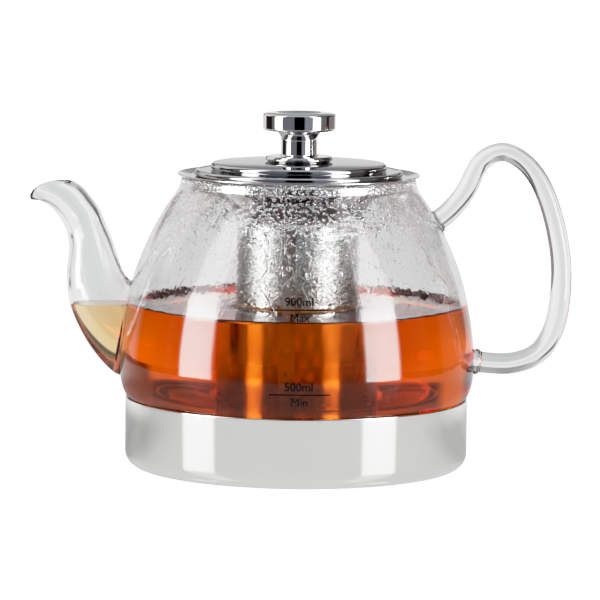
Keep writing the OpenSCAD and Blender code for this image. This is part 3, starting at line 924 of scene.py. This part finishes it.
KNOB_HEAD = 6.9  # height of the knob's head
KNOB_NECK = 6.9  # radius of its neck
KNOB_EDGE = 1.1
NECK_CURVE = (3.0, 4.2)
DISH_R = 7.7
head_z = KNOB_TOP - KNOB_HEAD
knob_profile = np.concatenate(
    [
        [(0, KNOB_LOW), (KNOB_NECK + 0.5, KNOB_LOW), (KNOB_NECK, KNOB_LOW + 0.5)],
        arc((KNOB_NECK + NECK_CURVE[0], head_z - NECK_CURVE[1]), *NECK_CURVE, 180, 92, 24),
        arc((KNOB_R - KNOB_EDGE, head_z + KNOB_EDGE), KNOB_EDGE, KNOB_EDGE, -88, 0, 12),
        arc((KNOB_R - KNOB_EDGE, KNOB_TOP - 1.45), KNOB_EDGE, KNOB_EDGE, 0, 80, 12),
        [(12.2, KNOB_TOP - 0.25), (9.4, KNOB_TOP), (8.4, KNOB_TOP - 0.08)],
        [(DISH_R * q, KNOB_TOP - 0.4 - 0.8 * (1 - q * q)) for q in np.linspace(1, 0, 16)],
    ]
)
build("knob_turned", *lathe(knob_profile, 160), STEEL, "lid", "polished_steel", ["knob"], sharp=28)
foot = rounded(
    [
        (0, FOOT_LOW, 0), (FOOT_R - 1.4, FOOT_LOW, 0.2), (FOOT_R, FOOT_LOW + 0.95, 0.3),
        (FOOT_R - 0.8, FOOT_TOP, 0.7), (0, FOOT_TOP, 0),
    ]
)
build("knob_base", *lathe(foot, 144), STEEL, "lid", "polished_steel", ["knob_foot"])

# Parts of the CAD that are shown as they are.
for node, material in (
    ("base_seal", SEAL), ("heat_spreader", ALUMINIUM), ("induction_plate", PLATE_STEEL),
    ("lid_liner", BOWL_STEEL), ("knob_screw", PLATE_STEEL), ("knob_washer", PLATE_STEEL),
):
    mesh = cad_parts[node].data
    mesh.materials.clear()
    mesh.materials.append(material)


# ---------------------------------------------------------------- level marks

LETTER = 4.3  # type size
BOLD = 0.08  # extra weight of the figures
LINE = 0.52  # height of a level line
LINE_HALF = 11.2


def on_glass(points, lift=0.04):
    """Flat points (width, height) laid on the front of the body."""
    out = []
    for x, z in points:
        r = float(glass_r(z))
        a = x / r - math.pi / 2 + math.radians(1)
        out.append(((r + lift) * math.cos(a), (r + lift) * math.sin(a), z))
    return out


def printed(text, x, z, weight=0.0):
    curve = bpy.data.curves.new(text, "FONT")
    curve.body, curve.size, curve.align_x = text, LETTER, "CENTER"
    curve.resolution_u = 3
    curve.offset = weight
    obj = bpy.data.objects.new(text, curve)
    bpy.context.scene.collection.objects.link(obj)
    dg = bpy.context.evaluated_depsgraph_get()
    mesh = bpy.data.meshes.new_from_object(obj.evaluated_get(dg))
    bpy.data.objects.remove(obj)
    flat = [(v.co.x + x, v.co.y + z) for v in mesh.vertices]
    return on_glass(flat), [tuple(p.vertices) for p in mesh.polygons]


def bar(z, n=24):
    xs = np.linspace(-LINE_HALF, LINE_HALF, n + 1)
    flat = [(x, end) for end in (z - LINE / 2, z + LINE / 2) for x in xs]
    return on_glass(flat), [(i, i + 1, n + 2 + i, n + 1 + i) for i in range(n)]


marks = joined(
    (
        bar(67.0), bar(36.2), printed("900ml", -0.3, 68.6, BOLD), printed("Max", 0, 62.9),
        printed("500ml", -0.3, 37.7, BOLD), printed("Min", 0, 32.0),
    )
)
build("print", *marks, PRINT, "pot", "dark_print", ["level_marks"], tidy=False)


# ---------------------------------------------------------------- condensation

SUNK = 0.06  # how far the drops reach into the surface


def drops(name, places, normals, body, size, cap, sides, rows=2, sag=0.0):
    """Joined water drops: caps on a surface, a little uneven.

    size is the mean and spread of the radius's logarithm, and the least and most radius. cap is the
    angle between a drop and the surface, in degrees, and sag the most that a drop is drawn out.
    """
    mean, spread, least, most = size
    n = len(places)
    radii = np.clip(rng.lognormal(mean, spread, n), least, most)
    side = np.cross([0, 0, 1.0], normals)
    side /= np.linalg.norm(side, axis=1)[:, None]
    vertical = np.cross(normals, side)
    phase = rng.uniform(0, 6.28, (n, 2))
    stretch = 1 + sag * rng.uniform(0, 1, n)
    around = np.arange(sides) * 2 * np.pi / sides
    wobble = 1 + 0.14 * np.cos(2 * around + phase[:, :1]) + 0.09 * np.cos(3 * around + phase[:, 1:])
    cap = math.radians(cap)
    rings = [(1.0, np.full(n, -SUNK))]
    for t in np.linspace(1, 0, rows + 1):
        rise = (math.cos(cap * t) - math.cos(cap)) / math.sin(cap)
        rings.append((math.sin(cap * t) / math.sin(cap), rise * radii))
    verts = []
    for share, rise in rings[:-1]:
        x = (share * radii)[:, None] * wobble * np.cos(around)
        y = (share * radii * stretch)[:, None] * wobble * np.sin(around)
        middle = (places + rise[:, None] * normals)[:, None]
        verts.append(middle + x[..., None] * side[:, None] + y[..., None] * vertical[:, None])
    verts.append((places + rings[-1][1][:, None] * normals)[:, None])
    verts = np.concatenate(verts, axis=1)
    apex = (rows + 1) * sides
    faces = [tuple(range(sides))]
    for k in range(rows):
        for j in range(sides):
            a, b = k * sides + j, k * sides + (j + 1) % sides
            faces.append((a, b, b + sides, a + sides))
    faces += [(rows * sides + j, rows * sides + (j + 1) % sides, apex) for j in range(sides)]
    every = [tuple(i * (apex + 1) + v for v in f) for i in range(n) for f in faces]
    return build(name, verts.reshape(-1, 3), every, WATER, body, "water_drops", sharp=60)


def inner_wall(phi, z):
    """Places and inward normals on the inside of the glass."""
    phi, z = np.asarray(phi), np.asarray(z)
    r = inner_r(z)
    slope = inner_r(z + 0.5) - inner_r(z - 0.5)
    n = np.stack([-np.cos(phi), -np.sin(phi), slope], 1)
    n /= np.linalg.norm(n, axis=1)[:, None]
    return np.stack([r * np.cos(phi), r * np.sin(phi), z], 1), n


def scatter(count, z_low, z_high, crowding, spread):
    """Angles and heights, denser towards the top when crowding is below 1; spread keeps them in front."""
    z = z_low + (z_high - z_low) * rng.uniform(0, 1, count) ** crowding
    phi = rng.uniform(0, 2 * np.pi, count)
    if spread:
        phi = -np.pi / 2 + rng.normal(0, spread, count)
    return phi, z


# How many, between which heights, crowding and spread; then size, cap, sides, rows and sag.
for name, where, look in (
    ("drops_neck", (3100, 92, 104, 0.7, None), ((-0.95, 0.42, 0.16, 1.0), 66, 10)),
    ("drops_rim", (2400, 103.5, 109.6, 1.0, None), ((-1.0, 0.35, 0.16, 0.45), 66, 9)),
    ("drops_shoulder", (1900, 80, 99, 0.55, None), ((-1.25, 0.42, 0.13, 0.8), 54, 9, 2, 0.4)),
    ("drops_wall", (1500, 64, 96, 0.8, None), ((-1.6, 0.35, 0.12, 0.5), 60, 8, 2, 0.5)),
    ("drops_front", (260, 66, 100, 0.8, 0.42), ((-1.15, 0.5, 0.18, 1.2), 52, 12, 3, 0.6)),
):
    drops(name, *inner_wall(*scatter(*where)), "pot", *look)


def bowl_place(phi, t):
    """Places and outward normals under the infuser's bowl; t runs from the tube to the neck."""
    r = bowl_mid[0] - BOWL_R * np.cos(t)
    z = bowl_mid[1] + BOWL_H * np.sin(t)
    n = np.stack([np.cos(t) / BOWL_R, -np.sin(t) / BOWL_H], 1)
    n /= np.linalg.norm(n, axis=1)[:, None]
    at = np.stack([r * np.cos(phi), r * np.sin(phi), z], 1)
    return at, np.stack([n[:, 0] * np.cos(phi), n[:, 0] * np.sin(phi), n[:, 1]], 1)


def basket_place(phi, z):
    """Places and outward normals on the basket."""
    out = np.stack([np.cos(phi), np.sin(phi), 0 * z], 1)
    return BASKET_R * out + np.stack([0 * z, 0 * z, z], 1), out


under_bowl = bowl_place(rng.uniform(0, 2 * np.pi, 1700), rng.uniform(0.05, 1.5, 1700))
drops("drops_bowl", *under_bowl, "infuser", (-1.0, 0.4, 0.18, 0.9), 66, 9)
on_basket = basket_place(rng.uniform(0, 2 * np.pi, 320), rng.uniform(TEA_Z + 3, BASKET_TOP - 1, 320))
drops("drops_basket", *on_basket, "infuser", (-1.2, 0.45, 0.16, 0.8), 50, 10, 2, 0.7)


def rivulet(phi, z_top, z_low, width, sway):
    """Rings along one wandering run of water down the inside of the glass."""
    z = np.linspace(z_top, z_low, max(int((z_top - z_low) * 1.6), 8))
    t = np.linspace(0, 1, len(z))
    a, b, c = rng.uniform(0, 6.28, 3)
    walk = np.sin(3.1 * t + a) + 0.5 * np.sin(8.3 * t + b) + 0.22 * np.sin(21.0 * t + c)
    phi = phi + sway * (walk - walk[0]) / 50
    swell = 0.75 + 0.25 * np.sin(17 * t + b) + 0.5 * np.exp(-(((t - 0.97) / 0.03) ** 2))
    w = width * swell * np.sqrt(np.clip(8 * t, 0.02, 1))
    w[-1] *= 0.4
    p, n = inner_wall(phi, z)
    side = np.stack([-np.sin(phi), np.cos(phi), 0 * z], 1)
    ring = []
    for q in np.linspace(0, np.pi, 9):
        across, out = -np.cos(q) * w, np.sin(q) ** 0.8 * w * 0.42 - SUNK
        ring.append(p + across[:, None] * side + out[:, None] * n)
    return np.stack(ring, 1)


# Degrees round the pot, top, foot, width and sway of the runs that show most.
courses = [
    (-104 + rng.normal(0, 1), 99, 64.5, 0.75, 3.5), (-94, 92, 70, 0.5, 2.5), (-85, 97, 66, 0.55, 3),
    (-73, 98, 68, 0.5, 4), (-62, 102, 72, 0.45, 3), (-48, 103, 75, 0.4, 5), (-38, 101, 66, 0.5, 6),
    (-24, 104, 78, 0.4, 5), (-126, 100, 76, 0.4, 4), (-150, 104, 80, 0.35, 4), (-165, 103, 86, 0.35, 4),
]
courses = [(math.radians(degrees), *rest) for degrees, *rest in courses]
courses += [
    (phi, top, top - rng.uniform(8, 30), rng.uniform(0.25, 0.55), rng.uniform(2, 6))
    for phi, top in zip(rng.uniform(0, 2 * np.pi, 26), rng.uniform(94, 104, 26))
]
runs = joined(rings_mesh(rivulet(*course)) for course in courses)
build("runs", *runs, WATER, "pot", "water_drops", sharp=60)


# ---------------------------------------------------------------- stage

SOFTBOX = 16.0  # brightness of the softboxes
PAPER = 2.2  # brightness of the plain white that the camera sees


def seen_plain(s, shown, plain):
    """The factor and inputs of a mix that gives the camera itself the plain one."""
    light_path = s.tree.nodes.new("ShaderNodeLightPath")
    return light_path.outputs["Is Camera Ray"], shown, plain


def studio():
    """A dark room with two tall softboxes in front and pale screens behind; plain white to the camera."""
    s = Shader("studio", "world")
    x, y, z = s.split(s.add("TexCoord", out=0))
    turn = s.compass(x, y)
    tilt = s.math("DEGREES", s.math("ARCSINE", z))

    def patch(stops, *steps):
        """Where something hangs: stops round the room, with soft ends in tilt."""
        return s.times(s.around(turn, *stops), *(s.step(tilt, *step) for step in steps))

    screen, side, brown = (0.97, 0.97, 0.98), (0.95, 0.95, 0.95), (0.07, 0.055, 0.058)
    cool, cool_right = (0.2, 0.2, 0.24), (0.3, 0.305, 0.36)
    black, grey = (0.012, 0.01, 0.01), (0.2, 0.2, 0.21)
    room = s.around(
        turn, (-180, screen), (-165, screen), (-160, side), (-112, side), (-108, black), (-105, grey),
        (-80, grey), (-78, cool), (-17, cool), (-14, black), (16, black), (19, cool_right),
        (71, cool_right), (73, grey), (105, grey), (108, brown), (143, brown), (149, screen), (180, screen),
    )

    raised = patch([(-165, 1), (-155, 0), (143, 0), (149, 1)], (7.0, 16.0))
    straight = patch([(-177, 1), (-172, 0), (172, 0), (177, 1)], (6.2, 9.5))
    beside = patch(
        [(-132, 0), (-124, 1), (-97, 1), (-94, 0), (94, 0), (97, 1), (124, 1), (135, 0)], (20.0, 12.0)
    )
    far = patch(
        [(-172, 0), (-168, 1), (-149, 1), (-144, 0), (142, 0), (148, 1), (168, 1), (172, 0)],
        (5.5, 7.5), (15.0, 13.0),
    )
    low = patch([(106, 0), (110, 1), (143, 1), (147, 0)], (13.0, 10.0))
    overhead = s.step(tilt, 50.0, 70.0)
    shelves = s.ramp(
        s.step(tilt, 6.0, 14.0),
        [(0, 0.34), (0.2, 0.1), (0.34, 0.1), (0.38, 0.42), (0.42, 0.12), (0.6, 0.12), (0.66, 0.3), (1, 0.16)],
    )
    for mask, colour in (
        (raised, (0.5, 0.5, 0.51)),
        (straight, (0.36, 0.36, 0.37)),
        (beside, (0.03, 0.026, 0.025)),
        (far, shelves),
        (low, (0.3, 0.27, 0.26)),
        (overhead, (0.62, 0.69, 0.78)),
    ):
        room = s.mix(mask, room, colour)

    softboxes = patch(
        [
            (-82, 0), (-80, 0.9), (-68, 1), (-57.5, 0.9), (-55.5, 0),
            (44.5, 0), (46.5, 0.9), (58, 1), (69, 0.9), (71, 0),
        ],
        (63.0, 57.0), (8.0, 26.0, (SOFTBOX, 0.2 * SOFTBOX)),
    )
    lit = s.add("VectorMath", room, softboxes, operation="ADD")
    return s.end(s.add("Background", s.mix(*seen_plain(s, lit, (PAPER, PAPER, PAPER))), 1.0))


def table():
    """A white table that glows, most behind the pot. The camera sees plain white with a soft shadow."""
    s = Shader("table")
    at = s.place()
    x, y, _ = s.split(at)
    turn = s.compass(x, y)
    away = s.length(x, y)
    cloud = s.noise(at, 6.0, 3.0)
    white = s.mix(cloud, (0.2, 0.2, 0.2), (0.22, 0.22, 0.218))
    glow = s.around(
        turn, (-180, 0.64), (-170, 0.64), (-158, 0.95), (-130, 0.9), (-100, 0.46), (-60, 0.56), (0, 0.6),
        (60, 0.6), (100, 0.52), (130, 0.9), (158, 0.95), (170, 0.64), (180, 0.64),
    )
    shaded = s.times(glow, s.around(turn, (-120, 0.35), (-80, 1), (80, 1), (120, 0.5)))
    glow = s.mix(s.step(away, 0.16, 0.27), shaded, glow)
    dark_left = s.times(s.around(turn, (-142, 0), (-137, 1), (-102, 1), (-96, 0)), s.step(away, 0.4, 0.5))
    glow = s.mix(dark_left, glow, (0.06, 0.05, 0.05))
    shade = s.add("AddShader", s.add("Emission", glow, 1.0), s.add("BsdfDiffuse", white))
    shade = s.add("MixShader", 0.06, shade, s.add("BsdfGlossy", (0.92, 0.92, 0.92), Roughness=0.05))
    plain = s.add("AddShader", s.add("Emission", (1, 1, 1), PAPER), s.add("BsdfDiffuse", (0.3, 0.3, 0.3)))
    return s.end(s.add("MixShader", *seen_plain(s, shade, plain)))


scene = bpy.context.scene
scene.world = studio()

# The table's top, round in front and wide behind, and a ground that only the camera sees.
TABLE_R = 450
outline = [(math.sin(math.radians(a)), -math.cos(math.radians(a))) for a in range(-100, 101, 10)]
outline = [(TABLE_R * x, TABLE_R * y) for x, y in outline]
outline += [(470, 450), (1500, 3000), (-1500, 3000), (-470, 450)]
floor = build("table_top", [(x, y, 0) for x, y in outline], [tuple(range(len(outline)))], table(), tidy=False)
floor.data.shade_flat()
GROUND = 9000
corners = [(-GROUND, -GROUND, -0.5), (GROUND, -GROUND, -0.5), (GROUND, GROUND, -0.5), (-GROUND, GROUND, -0.5)]
ground = build("ground", corners, [(0, 1, 2, 3)], table(), tidy=False)
ground.visible_diffuse = ground.visible_glossy = ground.visible_transmission = ground.visible_shadow = False

# A film-like response: straight up to 0.6, then rolling off so that white is reached at 2.
WHITE_LEVEL = 2.0
scene.view_settings.view_transform = "Standard"
scene.view_settings.use_curve_mapping = True
response = scene.view_settings.curve_mapping
response.black_level = (0.01, 0.01, 0.01)
response.white_level = (WHITE_LEVEL, WHITE_LEVEL, WHITE_LEVEL)
curve = response.curves[3]
for light, shown in ((0.6, 0.6), (0.8, 0.73), (1.0, 0.82), (1.3, 0.9), (1.7, 0.97)):
    curve.points.new(light / WHITE_LEVEL, shown)
for point in curve.points:
    point.handle_type = "VECTOR"
response.update()
scene.cycles.max_bounces = 32
scene.cycles.transmission_bounces = 24
scene.cycles.glossy_bounces = 12
scene.cycles.diffuse_bounces = 4
scene.cycles.transparent_max_bounces = 32
scene.cycles.sample_clamp_indirect = 40.0

# The camera looks slightly down on the pot from straight in front, a touch rolled.
PITCH = math.radians(6.55)
ROLL = math.radians(0.65)
DISTANCE = 1.71
AIM_LEFT, AIM_DOWN = 0.0002, 0.004
low_corner, high_corner = cad_box
middle = (Vector(low_corner) + Vector(high_corner)) / 2
aim = Vector((middle.x - AIM_LEFT, 0, middle.z - AIM_DOWN))
camera = bpy.data.objects.new("camera", bpy.data.cameras.new("camera"))
scene.collection.objects.link(camera)
camera.data.lens = 270
camera.data.sensor_width = 36
back_off = Vector((0, -math.cos(PITCH), math.sin(PITCH))) * DISTANCE
facing = (-back_off).to_track_quat("-Z", "Y")
camera.rotation_mode = "QUATERNION"
camera.rotation_quaternion = facing @ Matrix.Rotation(ROLL, 4, "Z").to_quaternion()
camera.location = aim + back_off
camera.data.clip_start, camera.data.clip_end = 0.05, 40
scene.camera = camera
